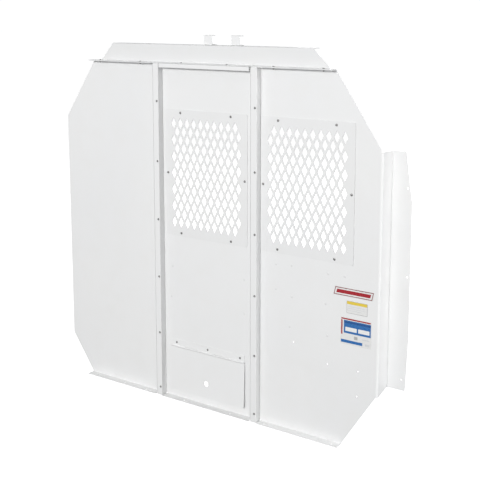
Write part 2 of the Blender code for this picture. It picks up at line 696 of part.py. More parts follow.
# flap: a flat plate in front of the moving leaf, with rounded corners and a finger hole
bm = bmesh.new()
flap_y1 = leaf_y0 - GAP
flap_y0 = flap_y1 - T
fz1 = HINGE_Z - KNUCKLE_R - 0.8
out = []
for cx, cz, a0 in ((FLAP_X1 - 3, FLAP_Z0 + 3, -90), (FLAP_X1 - 1, fz1 - 1, 0),
                   (FLAP_X0 + 1, fz1 - 1, 90), (FLAP_X0 + 3, FLAP_Z0 + 3, 180)):
    rad = 3.0 if cz < 100 else 1.0
    for i in range(3):
        a = math.radians(a0 + 45 * i)
        out.append((cx + rad * math.cos(a), cz + rad * math.sin(a)))
fr = [bm.verts.new((x * MM, flap_y0 * MM, z * MM)) for x, z in out]
bk = [bm.verts.new((x * MM, flap_y1 * MM, z * MM)) for x, z in out]
bm.faces.new(fr)
bm.faces.new(bk[::-1])
for i in range(len(out)):
    j = (i + 1) % len(out)
    bm.faces.new((fr[i], bk[i], bk[j], fr[j]))
bmesh.ops.recalc_face_normals(bm, faces=bm.faces[:])
flap = mesh_object("access_flap", bm, WHITE)
cut(flap, hole_cutter("finger_hole", [((FINGER_X, flap_y0, FINGER_Z), FINGER_R, 20.0, 'Y', 20)]))

# two rubber bumpers on the back of the flap keep its free edge off the panel
for side, x in (("left", FLAP_X0 + 7.5), ("right", FLAP_X1 - 7.5)):
    bm = bmesh.new()
    cyl_bm(bm, (x, flap_y1 + GAP + 3.3 / 2, FLAP_Z0 + 9.0), 4.0, 3.3, 'Y', 12)
    mesh_object("flap_bumper_" + side, bm, RUBBER)

for ob_name in ("hinge_moving_leaf", "hinge_moving_leaf_tabs", "hinge_moving_leaf_knuckles",
                "hinge_moving_leaf_bore", "access_flap", "finger_hole", "flap_bumper_left",
                "flap_bumper_right"):
    ob = bpy.data.objects[ob_name]
    ob.data.transform(swing)
    # origin on the hinge axis
    ob.data.transform(Matrix.Translation([-c * MM for c in pivot]))
    ob.location = [c * MM for c in pivot]

# ---------------------------------------------------------------- fasteners
grip = 2 * T + GAP
rivet = blind_rivet(4.6, 2.2, 2.0, grip + 2 * GAP)
for name, cx in (("centre_screen", CS_X), ("right_screen", RS_X)):
    for i, (x, z) in enumerate(screen_points(cx)):
        fastener("%s_rivet_%d" % (name, i + 1), rivet, (x, -(2 * GAP + T), z), FRONT, ZINC)

tap = tapping_screw(4.3, 2.4, 1.7, 12.0)
for name, pts in (("left_post", left_post_screws), ("right_post", right_post_screws)):
    for i, (x, z) in enumerate(pts):
        fastener("%s_screw_%d" % (name, i + 1), tap, (x, -D_POST - GAP, z), FRONT, ZINC)

for name, x0 in (("left_flange", LP0), ("right_flange", RP0)):
    for i, z in enumerate(SIDE_BOLT_Z):
        fastener("%s_rivet_%d" % (name, i + 1), rivet, (x0 - 2 * GAP - T, SIDE_Y, z), (-1, 0, 0), ZINC)

for i, x in enumerate(HEADER_BOLTS):
    fastener("header_rivet_%d" % (i + 1), rivet, (x, HEAD_BOLT_Y, HEAD_Z0 + T + GAP), (0, 0, 1), ZINC)

hinge_rivet = blind_rivet(4.2, 1.8, 2.0, LEAF_T + T + 3 * GAP)
for i, x in enumerate(HINGE_SCREW_X):
    fastener("hinge_rivet_%d" % (i + 1), hinge_rivet, (x, leaf_y0 - GAP, HINGE_SCREW_Z), FRONT, ZINC)

rb = machine_bolt(4.6, 2.6, 2.0, 2.5 + T + 2 * GAP + 5.0)
for side, x in zip(("left", "right"), tab_x):
    fastener("roof_bracket_bolt_" + side, rb, (x, BRACKET_Y, HEAD_TOP + 2 * GAP + 2.5), (0, 0, 1), ZINC)
    bm = bmesh.new()
    cyl_bm(bm, (x, BRACKET_Y, HEAD_TOP - T - GAP - 1.6), 4.05, 3.2, 'Z', 6)
    nut = mesh_object("roof_bracket_nut_" + side, bm, ZINC)
    cut(nut, hole_cutter("nut_bore_" + side, [((x, BRACKET_Y, HEAD_TOP - T - GAP - 1.6), 2.35, 8.0, 'Z', 8)]))


# ---------------------------------------------------------------- labels on the right panel
def label(name, corners, colour):
    """A thin plate set between four (x, z) corners of the panel face."""
    cu = bpy.data.curves.new(name, 'CURVE')
    cu.dimensions = '2D'
    cu.fill_mode = 'BOTH'
    cu.extrude = 0.2 * MM
    sp = cu.splines.new('POLY')
    sp.points.add(len(corners) - 1)
    for p, (x, z) in zip(sp.points, corners):
        p.co = (x * MM, z * MM, 0.0, 1.0)
    sp.use_cyclic_u = True
    tmp = bpy.data.objects.new(name + "_curve", cu)
    parts.objects.link(tmp)
    tmp.rotation_euler = (math.radians(90), 0, 0)
    tmp.location = (0.0, -(GAP + 0.2) * MM, 0.0)
    bpy.context.view_layer.update()
    me = bpy.data.meshes.new_from_object(tmp.evaluated_get(bpy.context.evaluated_depsgraph_get()))
    bm = bmesh.new()
    bm.from_mesh(me)
    bmesh.ops.remove_doubles(bm, verts=bm.verts[:], dist=0.00001)
    bmesh.ops.recalc_face_normals(bm, faces=bm.faces[:])
    bm.to_mesh(me)
    bm.free()
    ob = bpy.data.objects.new(name, me)
    parts.objects.link(ob)
    ob.matrix_world = tmp.matrix_world.copy()
    bpy.data.objects.remove(tmp, do_unlink=True)
    return finish(ob, name, (colour, 0.4, 0.0))


label("badge_label", [(510.0, 574.7), (662.7, 574.7), (655.0, 542.8), (502.3, 542.8)], (0.75, 0.05, 0.05))
label("caution_label", [(556.6, 529.4), (637.0, 529.4), (637.0, 485.6), (556.6, 485.6)], (0.85, 0.7, 0.1))
label("data_label", [(534.5, 469.0), (653.5, 469.0), (653.5, 373.0), (534.5, 373.0)], (0.75, 0.78, 0.85))


# ---------------------------------------------------------------- origin
bpy.context.view_layer.update()
for ob in list(parts.objects) + list(cutters.objects):
    ob.location = [a + b * MM for a, b in zip(ob.location, ORIGIN_SHIFT)]
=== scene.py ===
"""Looks of the van bulkhead partition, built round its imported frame."""

import math

import bmesh
import bpy
import numpy as np
from mathutils import Matrix, Vector


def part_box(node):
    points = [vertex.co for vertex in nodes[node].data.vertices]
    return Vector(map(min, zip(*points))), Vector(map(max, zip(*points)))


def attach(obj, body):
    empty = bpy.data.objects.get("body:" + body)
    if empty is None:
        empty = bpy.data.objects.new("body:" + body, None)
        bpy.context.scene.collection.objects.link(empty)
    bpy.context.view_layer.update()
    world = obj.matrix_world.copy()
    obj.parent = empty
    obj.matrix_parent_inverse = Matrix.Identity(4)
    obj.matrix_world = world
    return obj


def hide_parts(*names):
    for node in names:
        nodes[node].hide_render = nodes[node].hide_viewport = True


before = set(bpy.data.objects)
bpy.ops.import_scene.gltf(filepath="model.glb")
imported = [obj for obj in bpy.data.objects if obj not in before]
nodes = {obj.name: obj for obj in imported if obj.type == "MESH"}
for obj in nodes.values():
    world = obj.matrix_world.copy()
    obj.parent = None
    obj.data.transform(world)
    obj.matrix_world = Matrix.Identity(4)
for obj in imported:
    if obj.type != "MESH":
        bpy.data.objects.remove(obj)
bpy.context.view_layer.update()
scene = bpy.context.scene
MM = 0.001


# ---------------------------------------------------------------- node helpers
class Tree:
    """A short way to write a node tree."""

    def __init__(self, tree):
        self.t = tree
        self.t.nodes.clear()

    def node(self, kind, props=None, **inputs):
        n = self.t.nodes.new(kind)
        for k, v in (props or {}).items():
            setattr(n, k, v)
        for k, v in inputs.items():
            key = int(k[1:]) if k[0] == "i" and k[1:].isdigit() else k.replace("_", " ")
            self.put(n.inputs[key], v)
        return n

    def put(self, socket, v):
        if isinstance(v, bpy.types.NodeSocket):
            self.t.links.new(v, socket)
        elif isinstance(v, bpy.types.Node):
            self.t.links.new(v.outputs[0], socket)
        else:
            socket.default_value = v

    def math(self, op, a, b=None, clamp=False):
        n = self.node("ShaderNodeMath", {"operation": op, "use_clamp": clamp}, i0=a)
        if b is not None:
            self.put(n.inputs[1], b)
        return n.outputs[0]

    def span(self, v, lo, hi, to_lo, to_hi):
        n = self.node("ShaderNodeMapRange", {"clamp": True}, i0=v, i1=lo, i2=hi, i3=to_lo, i4=to_hi)
        return n.outputs[0]

    def mix(self, fac, a, b):
        n = self.t.nodes.new("ShaderNodeMix")
        n.data_type = "RGBA"
        self.put(n.inputs[0], fac)
        self.put(n.inputs[6], a)
        self.put(n.inputs[7], b)
        return n.outputs[2]

    def noise(self, at, scale, detail=2.0, rough=0.5):
        n = self.node("ShaderNodeTexNoise", {}, Vector=at, Scale=scale, Detail=detail, Roughness=rough)
        return n.outputs[0]

    def bump(self, height, distance, strength=1.0, under=None):
        n = self.node("ShaderNodeBump", {}, Height=height, Distance=distance, Strength=strength)
        if under is not None:
            self.put(n.inputs["Normal"], under)
        return n.outputs[0]

    def edges(self, radius, samples=4):
        """0 on flat faces, rising towards 1 on edges and bends."""
        bev = self.node("ShaderNodeBevel", {"samples": samples}, Radius=radius).outputs[0]
        geo = self.node("ShaderNodeNewGeometry")
        dot = self.node("ShaderNodeVectorMath", {"operation": "DOT_PRODUCT"}, i0=bev, i1=geo.outputs["Normal"])
        return self.math("SUBTRACT", 1.0, dot.outputs["Value"], clamp=True)


def rgb(r, g, b):
    return (r, g, b, 1.0)


def shader(name):
    m = bpy.data.materials.new(name)
    m.use_nodes = True
    t = Tree(m.node_tree)
    out = t.node("ShaderNodeOutputMaterial")
    b = t.node("ShaderNodeBsdfPrincipled")
    t.put(out.inputs["Surface"], b.outputs[0])
    at = t.node("ShaderNodeTexCoord").outputs["Object"]
    return m, t, b, at


# ---------------------------------------------------------------- finishes
def powder_coat(name, tone=1.0, peel=1.0):
    """White satin powder coat on steel: an orange-peel skin, faint uneven
    gloss, a little dust towards the foot and thinner film on sharp edges."""
    m, t, b, at = shader(name)
    broad = t.noise(at, 1.7, 3.0, 0.55)
    cloud = t.noise(at, 14.0, 4.0, 0.6)
    speck = t.noise(at, 620.0, 2.0, 0.5)
    white = rgb(0.855 * tone, 0.856 * tone, 0.852 * tone)
    warm = rgb(0.832 * tone, 0.831 * tone, 0.822 * tone)
    cool = rgb(0.838 * tone, 0.842 * tone, 0.846 * tone)
    col = t.mix(t.span(broad, 0.35, 0.65, 0.0, 1.0), white, cool)
    col = t.mix(t.span(cloud, 0.45, 0.75, 0.0, 0.55), col, warm)
    # fine pigment speckle
    col = t.mix(t.span(speck, 0.62, 0.80, 0.0, 0.35), col, rgb(0.74 * tone, 0.74 * tone, 0.73 * tone))
    # dust lies on the lowest few centimetres
    z = t.node("ShaderNodeSeparateXYZ", {}, i0=at).outputs[2]
    low = t.span(z, 0.0, 0.07, 1.0, 0.0)
    dust = t.math("MULTIPLY", t.math("MULTIPLY", low, low), t.span(t.noise(at, 36.0, 5.0, 0.65), 0.45, 0.75, 0.0, 0.16))
    col = t.mix(dust, col, rgb(0.62, 0.60, 0.56))
    # the film is thinner, and rubbed here and there, along sharp edges
    edge = t.edges(1.4 * MM)
    rub = t.math("MULTIPLY", t.span(edge, 0.06, 0.30, 0.0, 1.0), t.span(t.noise(at, 24.0, 4.0, 0.7), 0.52, 0.74, 0.0, 0.28))
    col = t.mix(rub, col, rgb(0.60, 0.60, 0.59))
    t.put(b.inputs["Base Color"], col)
    gloss = t.span(t.noise(at, 5.5, 3.0, 0.5), 0.3, 0.7, 0.33, 0.41)
    gloss = t.math("ADD", gloss, t.math("MULTIPLY", dust, 0.35))
    gloss = t.math("ADD", gloss, t.span(speck, 0.4, 0.7, -0.015, 0.03))
    t.put(b.inputs["Roughness"], gloss)
    skin = t.noise(at, 310.0, 1.5, 0.45)
    wave = t.noise(at, 95.0, 1.0, 0.4)
    n = t.bump(wave, 0.10 * MM * peel, 0.55)
    n = t.bump(skin, 0.050 * MM * peel, 0.65, n)
    n = t.bump(speck, 0.020 * MM * peel, 0.5, n)
    t.put(b.inputs["Normal"], n)
    b.inputs["IOR"].default_value = 1.5
    return m


def zinc(name, tint, rough=0.34, worn=0.5):
    """Zinc-plated steel: fine crystal spangle, passivation tint, drawn lines."""
    m, t, b, at = shader(name)
    cell = t.node("ShaderNodeTexVoronoi", {}, Vector=at, Scale=950.0)
    grain = t.noise(at, 1500.0, 2.0, 0.6)
    hue = t.noise(at, 160.0, 3.0, 0.5)
    a = rgb(*[c * 1.12 for c in tint])
    d = rgb(tint[0] * 0.78, tint[1] * 0.76, tint[2] * 0.72)
    col = t.mix(t.span(cell.outputs["Distance"], 0.1, 0.7, 0.0, 1.0), a, d)
    col = t.mix(t.span(hue, 0.4, 0.7, 0.0, 0.45), col, rgb(tint[0] * 0.95, tint[1] * 0.90, tint[2] * 0.78))
    edge = t.edges(0.35 * MM)
    col = t.mix(t.math("MULTIPLY", t.span(edge, 0.03, 0.25, 0.0, 1.0), worn), col, rgb(0.72, 0.72, 0.72))
    t.put(b.inputs["Base Color"], col)
    b.inputs["Metallic"].default_value = 1.0
    t.put(b.inputs["Roughness"], t.span(grain, 0.3, 0.7, rough - 0.06, rough + 0.10))
    t.put(b.inputs["Normal"], t.bump(grain, 0.012 * MM, 0.6))
    return m


def rubber(name):
    m, t, b, at = shader(name)
    fine = t.noise(at, 900.0, 3.0, 0.6)
    bloom = t.noise(at, 120.0, 3.0, 0.55)
    t.put(b.inputs["Base Color"], t.mix(t.span(bloom, 0.4, 0.7, 0.0, 1.0), rgb(0.022, 0.022, 0.023), rgb(0.05, 0.05, 0.048)))
    t.put(b.inputs["Roughness"], t.span(fine, 0.3, 0.7, 0.62, 0.85))
    t.put(b.inputs["Normal"], t.bump(fine, 0.03 * MM, 0.6))
    return m


class Print:
    """Plain colour areas on a film, in x and z of the row frame (mm). The
    labels are skewed like the corners they are set between."""

    def __init__(self, t, at, x0, x1, z0, z1, skew=0.0):
        xyz = t.node("ShaderNodeSeparateXYZ", {}, i0=at)
        self.t = t
        lean = t.math("MULTIPLY", t.math("SUBTRACT", xyz.outputs[2], z0 * MM), skew)
        self.u = t.span(t.math("SUBTRACT", xyz.outputs[0], lean), x0 * MM, x1 * MM, 0.0, 1.0)
        self.v = t.span(xyz.outputs[2], z0 * MM, z1 * MM, 0.0, 1.0)

    def area(self, u0, u1, v0, v1, soft=0.004):
        t = self.t
        parts = [
            t.span(self.u, u0 - soft, u0 + soft, 0.0, 1.0),
            t.span(self.u, u1 - soft, u1 + soft, 1.0, 0.0),
            t.span(self.v, v0 - soft, v0 + soft, 0.0, 1.0),
            t.span(self.v, v1 - soft, v1 + soft, 1.0, 0.0),
        ]
        out = parts[0]
        for p in parts[1:]:
            out = t.math("MULTIPLY", out, p)
        return out

    def frame(self, u0, u1, v0, v1, du, dv):
        """The border of an area."""
        return self.t.math("SUBTRACT", self.area(u0, u1, v0, v1), self.area(u0 + du, u1 - du, v0 + dv, v1 - dv), clamp=True)


def film(name, box_mm, areas, ground=(0.80, 0.80, 0.79)):
    """Printed vinyl: a white ground with plain colour areas, faint ink mottle
    and a smooth clear skin."""
    m, t, b, at = shader(name)
    p = Print(t, at, *box_mm)
    ink = t.noise(at, 500.0, 3.0, 0.6)
    col = t.mix(t.span(t.noise(at, 60.0, 2.0, 0.5), 0.35, 0.7, 0.0, 1.0), rgb(*ground), rgb(*[c * 0.955 for c in ground]))
    for kind, args, colour in areas:
        mask = getattr(p, kind)(*args)
        light = rgb(*[min(1.0, c * 1.10 + 0.004) for c in colour])
        shade = t.mix(t.span(ink, 0.35, 0.65, 0.0, 1.0), rgb(*colour), light)
        col = t.mix(mask, col, shade)
    t.put(b.inputs["Base Color"], col)
    t.put(b.inputs["Roughness"], t.span(t.noise(at, 90.0, 2.0, 0.5), 0.3, 0.7, 0.24, 0.33))
    t.put(b.inputs["Normal"], t.bump(t.noise(at, 240.0, 2.0, 0.4), 0.02 * MM, 0.5))
    b.inputs["IOR"].default_value = 1.48
    return m


PAINT = powder_coat("satin_white_powder_coat")
PAINT_FLAP = powder_coat("satin_white_powder_coat_flap", tone=1.0, peel=1.1)
# the header's copy of the white powder coat is made darker (tone 0.94) as painted shade, standing in for how the light
# falls on the header; it is the same paint as the panels
PAINT_HEADER_SHADED = powder_coat("satin_white_powder_coat_header_painted_shade", tone=0.94, peel=1.0)
PAINT_PLUG = powder_coat("satin_white_nylon_plug", tone=0.93, peel=0.5)
PAINT_SCREEN = powder_coat("satin_white_powder_coat_screen", tone=0.97, peel=0.9)
# the fasteners' zinc has its base darkened (0.36) as painted shade, standing in for the shade round the heads; the
# plating itself is lighter
ZINC = zinc("zinc_plate_darkened_for_painted_shade", (0.36, 0.36, 0.37))
ZINC_BRIGHT = zinc("bright_zinc_plate", (0.55, 0.55, 0.56), 0.30)
RUBBER = rubber("bumper_rubber")

RED = (0.36, 0.018, 0.028)
DARK_RED = (0.20, 0.016, 0.024)
BLUE = (0.030, 0.145, 0.40)
DEEP_BLUE = (0.020, 0.085, 0.26)
YELLOW = (0.74, 0.56, 0.07)
GREY = (0.42, 0.42, 0.42)
PALE = (0.64, 0.65, 0.66)
PAPER = (0.80, 0.80, 0.79)

SKEW = {"badge_label": 7.7 / 31.9}
# spare holes that are closed by a plug: x from the middle of the front face, z from the floor (mm)
PLUGS = [(-213.5, 531.0), (-220.5, 408.0), (126.5, 532.0), (126.5, 402.0),
         (265.0, 613.0), (331.0, 618.0), (481.0, 612.0), (547.0, 612.5), (265.0, 520.5),
         (334.0, 503.0), (473.0, 503.0), (326.0, 391.0), (481.0, 388.5)]

FILMS = {
    "badge_label": ("badge_film", (511.6, 663.6, 534.0, 566.0), [
        ("frame", (0.015, 0.985, 0.07, 0.93, 0.016, 0.075), DARK_RED),
        ("area", (0.07, 0.93, 0.30, 0.70), RED),
    ]),
    "caution_label": ("caution_film", (558.6, 640.6, 476.0, 523.0), [
        ("area", (0.0, 1.0, 0.74, 1.0), YELLOW),
        ("area", (0.08, 0.92, 0.53, 0.57), PALE),
        ("area", (0.08, 0.86, 0.37, 0.41), PALE),
        ("area", (0.08, 0.70, 0.21, 0.25), PALE),
        ("frame", (0.0, 1.0, 0.0, 1.0, 0.018, 0.032), GREY),
    ]),
    "data_label": ("data_film", (535.6, 655.6, 356.0, 458.0), [
        ("area", (0.02, 0.98, 0.925, 0.975), RED),
        ("area", (0.02, 0.065, 0.36, 0.90), RED),
        ("area", (0.11, 0.985, 0.42, 0.90), BLUE),
        ("area", (0.11, 0.985, 0.80, 0.86), DEEP_BLUE),
        ("area", (0.16, 0.53, 0.50, 0.65), PAPER),
        ("area", (0.58, 0.94, 0.50, 0.65), PAPER),
        ("area", (0.45, 0.56, 0.23, 0.35), GREY),
        ("area", (0.70, 0.94, 0.27, 0.31), PALE),
        ("area", (0.02, 0.72, 0.06, 0.17), BLUE),
        ("area", (0.80, 0.95, 0.07, 0.15), PALE),
    ]),
}


# ---------------------------------------------------------------- helpers for meshes
def set_material(ob, mat):
    ob.data.materials.clear()
    ob.data.materials.append(mat)


def soft_edges(ob, width, angle=38.0, segments=2):
    """Small rounded edges on a CAD node, by modifiers only: its own mesh is
    left as it is."""
    w = ob.modifiers.new("weld", "WELD")
    w.merge_threshold = 0.00001
    d = ob.modifiers.new("flat_faces", "DECIMATE")
    d.decimate_type = "DISSOLVE"
    d.angle_limit = math.radians(0.4)
    b = ob.modifiers.new("edge", "BEVEL")
    b.width = width
    b.segments = segments
    b.limit_method = "ANGLE"
    b.angle_limit = math.radians(angle)
    b.use_clamp_overlap = True
    b.miter_outer = "MITER_SHARP"
    b.harden_normals = False
    n = ob.modifiers.new("shading", "WEIGHTED_NORMAL")
    n.mode = "FACE_AREA"
    n.weight = 80
    n.keep_sharp = False


def piece(name, me, matrix, mat, body, node=None):
    ob = bpy.data.objects.new(name, me)
    scene.collection.objects.link(ob)
    ob.matrix_world = matrix
    if mat:
        set_material(ob, mat)
    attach(ob, body)
    if node:
        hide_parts(node)
    return ob


def to_mesh(name, bm, smooth=35.0):
    bmesh.ops.remove_doubles(bm, verts=bm.verts[:], dist=1e-7)
    bmesh.ops.recalc_face_normals(bm, faces=bm.faces[:])
    me = bpy.data.meshes.new(name)
    bm.to_mesh(me)
    bm.free()
    me.polygons.foreach_set("use_smooth", [True] * len(me.polygons))
    me.set_sharp_from_angle(angle=math.radians(smooth))
    return me


def revolve(bm, profile, seg, phase=0.0):
    """Rings of (radius, z) in mm, top to bottom; ends on the axis close it."""
    rings = []
    for r, z in profile:
        if r <= 1e-9:
            rings.append([bm.verts.new((0.0, 0.0, z * MM))])
        else:
            rings.append([bm.verts.new((r * MM * math.cos(2 * math.pi * k / seg + phase),
                                        r * MM * math.sin(2 * math.pi * k / seg + phase), z * MM)) for k in range(seg)])
    for a, b in zip(rings, rings[1:]):
        for k in range(seg):
            j = (k + 1) % seg
            if len(a) == 1 and len(b) == 1:
                continue
            if len(a) == 1:
                bm.faces.new((a[0], b[k], b[j]))
            elif len(b) == 1:
                bm.faces.new((a[k], b[0], a[j]))
            else:
                bm.faces.new((a[k], b[k], b[j], a[j]))
    return rings


def cut_mesh(name, me, cutter_me):
    """me minus cutter_me, as a new mesh."""
    a = bpy.data.objects.new(name + "_a", me)
    c = bpy.data.objects.new(name + "_c", cutter_me)
    for o in (a, c):
        scene.collection.objects.link(o)
    m = a.modifiers.new("cut", "BOOLEAN")
    m.operation = "DIFFERENCE"
    m.solver = "EXACT"
    m.object = c
    dg = bpy.context.evaluated_depsgraph_get()
    out = bpy.data.meshes.new_from_object(a.evaluated_get(dg))
    bpy.data.objects.remove(a)
    bpy.data.objects.remove(c)
    bpy.data.meshes.remove(cutter_me)
    out.name = name
    out.polygons.foreach_set("use_smooth", [True] * len(out.polygons))
    out.set_sharp_from_angle(angle=math.radians(35))
    return out


# ---------------------------------------------------------------- fastener shapes, +Z is the head side, seat at z = 0
def rivet_mesh(name, head_r, head_h, shank_r, grip):
    """A blind rivet: a domed flange round the broken-off mandrel, the shank,
    and the upset tail behind the sheets."""
    bm = bmesh.new()
    k = head_r
    revolve(bm, [
        (0.0, head_h * 0.60), (0.55, head_h * 0.62), (0.88, head_h * 0.56), (0.92, head_h * 0.40),
        (1.08, head_h * 0.44), (1.16, head_h * 0.90), (1.36, head_h * 0.985), (k * 0.42, head_h),
        (k * 0.58, head_h * 0.95), (k * 0.74, head_h * 0.82), (k * 0.87, head_h * 0.60), (k * 0.96, head_h * 0.34),
        (k, head_h * 0.13), (k * 0.985, 0.02), (k * 0.95, 0.0), (shank_r, 0.0),
        (shank_r, -grip - 0.3), (shank_r + 0.75, -grip - 0.75), (shank_r + 1.15, -grip - 1.7),
        (shank_r + 1.1, -grip - 2.7), (shank_r + 0.7, -grip - 3.9), (shank_r + 0.25, -grip - 4.6),
        (shank_r - 0.5, -grip - 4.9), (0.0, -grip - 5.0)], 28)
    return to_mesh(name, bm)


def screw_mesh(name, head_r, head_h, shank_r, length):
    """A pan-head tapping screw: a helical thread that runs out to a point and
    a cross recess in the head."""
    seg, pitch, core = 20, 1.35, shank_r * 0.74
    bm = bmesh.new()
    prof = [(0.0, head_h), (head_r * 0.34, head_h * 0.985), (head_r * 0.58, head_h * 0.92),
            (head_r * 0.78, head_h * 0.78), (head_r * 0.92, head_h * 0.54), (head_r * 0.985, head_h * 0.30),
            (head_r, head_h * 0.14), (head_r * 0.975, 0.03), (head_r * 0.95, 0.0), (shank_r, 0.0), (shank_r, -0.9)]
    rings = revolve(bm, prof, seg)
    last = rings[-1]
    steps = int((length - 1.3) / (pitch / 7))
    for i in range(1, steps + 1):
        z = -0.9 - i * pitch / 7
        taper = min(1.0, max(0.05, (length + z) / 3.2))
        ring = []
        for k in range(seg):
            th = 2 * math.pi * k / seg
            w = ((z / pitch) + k / seg) % 1.0
            crest = max(0.0, 1.0 - abs(w - 0.5) / 0.30)
            r = (core + (shank_r - core) * crest) * taper
            ring.append(bm.verts.new((r * MM * math.cos(th), r * MM * math.sin(th), z * MM)))
        for k in range(seg):
            j = (k + 1) % seg
            bm.faces.new((last[k], ring[k], ring[j], last[j]))
        last = ring
    tip = bm.verts.new((0.0, 0.0, -length * MM))
    for k in range(seg):
        bm.faces.new((last[k], tip, last[(k + 1) % seg]))
    me = to_mesh(name, bm)
    # cross recess: two tapered bars that meet on the axis
    cb = bmesh.new()
    L, W, D = head_r * 0.50, head_r * 0.115, head_h * 0.62
    top, bot = head_h + 0.5, head_h - D
    ring_t, ring_b = [], []
    for q in range(4):
        a = math.pi / 2 * q
        c, s = math.cos(a), math.sin(a)
        for x, y in ((W, -W), (L, -W), (L, W)):
            ring_t.append(cb.verts.new(((x * c - y * s) * MM, (x * s + y * c) * MM, top * MM)))
            f = 0.45 if x > W else 0.85
            ring_b.append(cb.verts.new(((x * f * c - y * 0.8 * s) * MM, (x * f * s + y * 0.8 * c) * MM, bot * MM)))
    cb.faces.new(ring_t)
    cb.faces.new(ring_b[::-1])
    for i in range(12):
        j = (i + 1) % 12
        cb.faces.new((ring_t[i], ring_b[i], ring_b[j], ring_t[j]))
    bmesh.ops.recalc_face_normals(cb, faces=cb.faces[:])
    cm = bpy.data.meshes.new(name + "_cross")
    cb.to_mesh(cm)
    cb.free()
    return cut_mesh(name, me, cm)


def hex_ring(bm, across, z, seg=24, round_to=None):
    """A ring of 24 points on a hexagon, or pulled in to a circle."""
    out = []
    for k in range(seg):
        th = 2 * math.pi * k / seg
        w = (th + math.pi / 6) % (math.pi / 3) - math.pi / 6
        r = across / math.cos(w)
        if round_to is not None:
            r = min(r, round_to)
        out.append(bm.verts.new((r * MM * math.cos(th + math.pi / 6), r * MM * math.sin(th + math.pi / 6), z * MM)))
    return out


def bridge(bm, a, b):
    n = len(a)
    for k in range(n):
        bm.faces.new((a[k], b[k], b[(k + 1) % n], a[(k + 1) % n]))


def hex_bolt_mesh(name, head_r, head_h, shank_r, length):
    """A hexagon-head machine bolt with a washer face, a chamfered head and a
    helical thread."""
    seg, pitch = 24, 0.8
    flat = head_r * math.cos(math.pi / 6)
    bm = bmesh.new()
    centre = bm.verts.new((0, 0, head_h * MM))
    rings = [hex_ring(bm, flat * 0.93, head_h, seg, flat * 0.93),
             hex_ring(bm, flat, head_h - 0.16, seg, flat * 1.04),
             hex_ring(bm, flat, head_h - 0.42, seg, head_r),
             hex_ring(bm, flat, 0.32, seg, head_r),
             hex_ring(bm, flat * 0.96, 0.22, seg, flat * 0.96),
             hex_ring(bm, flat * 0.96, 0.0, seg, flat * 0.96)]
    for k in range(seg):
        bm.faces.new((centre, rings[0][k], rings[0][(k + 1) % seg]))
    for a, b in zip(rings, rings[1:]):
        bridge(bm, a, b)
    last = [bm.verts.new((shank_r * MM * math.cos(2 * math.pi * k / seg + math.pi / 6),
                          shank_r * MM * math.sin(2 * math.pi * k / seg + math.pi / 6), 0.0)) for k in range(seg)]
    bridge(bm, rings[-1], last)
    steps = int((length - 0.5) / (pitch / 6))
    for i in range(1, steps + 1):
        z = -i * pitch / 6
        ring = []
        for k in range(seg):
            th = 2 * math.pi * k / seg + math.pi / 6
            w = ((z / pitch) + k / seg) % 1.0
            depth = abs(w - 0.5) * 2
            r = shank_r * (1.0 - 0.13 * depth) if z < -1.0 else shank_r
            if z < -length + 1.0:
                r *= 0.92
            ring.append(bm.verts.new((r * MM * math.cos(th), r * MM * math.sin(th), z * MM)))
        bridge(bm, last, ring)
        last = ring
    end = bm.verts.new((0, 0, -length * MM))
    for k in range(seg):
        bm.faces.new((last[k], end, last[(k + 1) % seg]))
    return to_mesh(name, bm, 40.0)


def nut_mesh(name, corner_r, height, bore_r):
    """A hexagon nut, chamfered on both faces, with a countersunk bore."""
    seg = 24
    flat = corner_r * math.cos(math.pi / 6)
    h = height / 2
    bm = bmesh.new()
    outer = [hex_ring(bm, flat * 0.93, h, seg, flat * 0.93), hex_ring(bm, flat, h - 0.18, seg, flat * 1.04),
             hex_ring(bm, flat, h - 0.45, seg, corner_r), hex_ring(bm, flat, -h + 0.45, seg, corner_r),
             hex_ring(bm, flat, -h + 0.18, seg, flat * 1.04), hex_ring(bm, flat * 0.93, -h, seg, flat * 0.93)]
    inner = []
    for r, z in ((bore_r + 0.3, -h), (bore_r, -h + 0.3), (bore_r, h - 0.3), (bore_r + 0.3, h)):
        inner.append([bm.verts.new((r * MM * math.cos(2 * math.pi * k / seg + math.pi / 6),
                                    r * MM * math.sin(2 * math.pi * k / seg + math.pi / 6), z * MM)) for k in range(seg)])
    loop = outer + inner
    for a, b in zip(loop, loop[1:] + loop[:1]):
        bridge(bm, a, b)
    return to_mesh(name, bm, 40.0)


def placed(node, axis, head_h):
    """The matrix that puts a fastener shape on a CAD fastener: its axis runs
    through the middle of the CAD node's box, its seat under the CAD head."""
    lo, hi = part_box(node)
    mid = (lo + hi) / 2
    axis = Vector(axis)
    k = max(range(3), key=lambda i: abs(axis[i]))
    seat = mid.copy()
    top = hi[k] if axis[k] > 0 else lo[k]
    seat[k] = top - axis[k] * head_h * MM
    rot = Vector((0, 0, 1)).rotation_difference(axis).to_matrix().to_4x4()
    return Matrix.Translation(seat) @ rot


FRONT, UP, LEFT = (0, -1, 0), (0, 0, 1), (-1, 0, 0)
grip = 2 * 2.0 + 0.3 + 0.6
body_rivet = rivet_mesh("blind_rivet", 4.55, 2.2, 2.0, grip)
hinge_rivet = rivet_mesh("hinge_blind_rivet", 4.15, 1.8, 2.0, 1.5 + 2.0 + 0.9)
post_screw = screw_mesh("tapping_screw", 4.25, 2.4, 1.7, 12.0)
bracket_bolt = hex_bolt_mesh("bracket_bolt", 4.55, 2.6, 2.0, 2.5 + 2.0 + 0.6 + 5.0)
bracket_nut = nut_mesh("bracket_nut", 4.05, 3.2, 2.25)

# every fastener shape takes this darkened zinc: painted shade
for me in (body_rivet, hinge_rivet, post_screw, bracket_bolt, bracket_nut):
    me.materials.clear()
    me.materials.append(ZINC)


def place_all(names, me, axis, head_h, turn=0.0):
    for i, n in enumerate(names):
        m = placed(n, axis, head_h) @ Matrix.Rotation(turn + 1.1 * i, 4, "Z")
        piece("detailed_" + n, me, m, None, "frame", n)


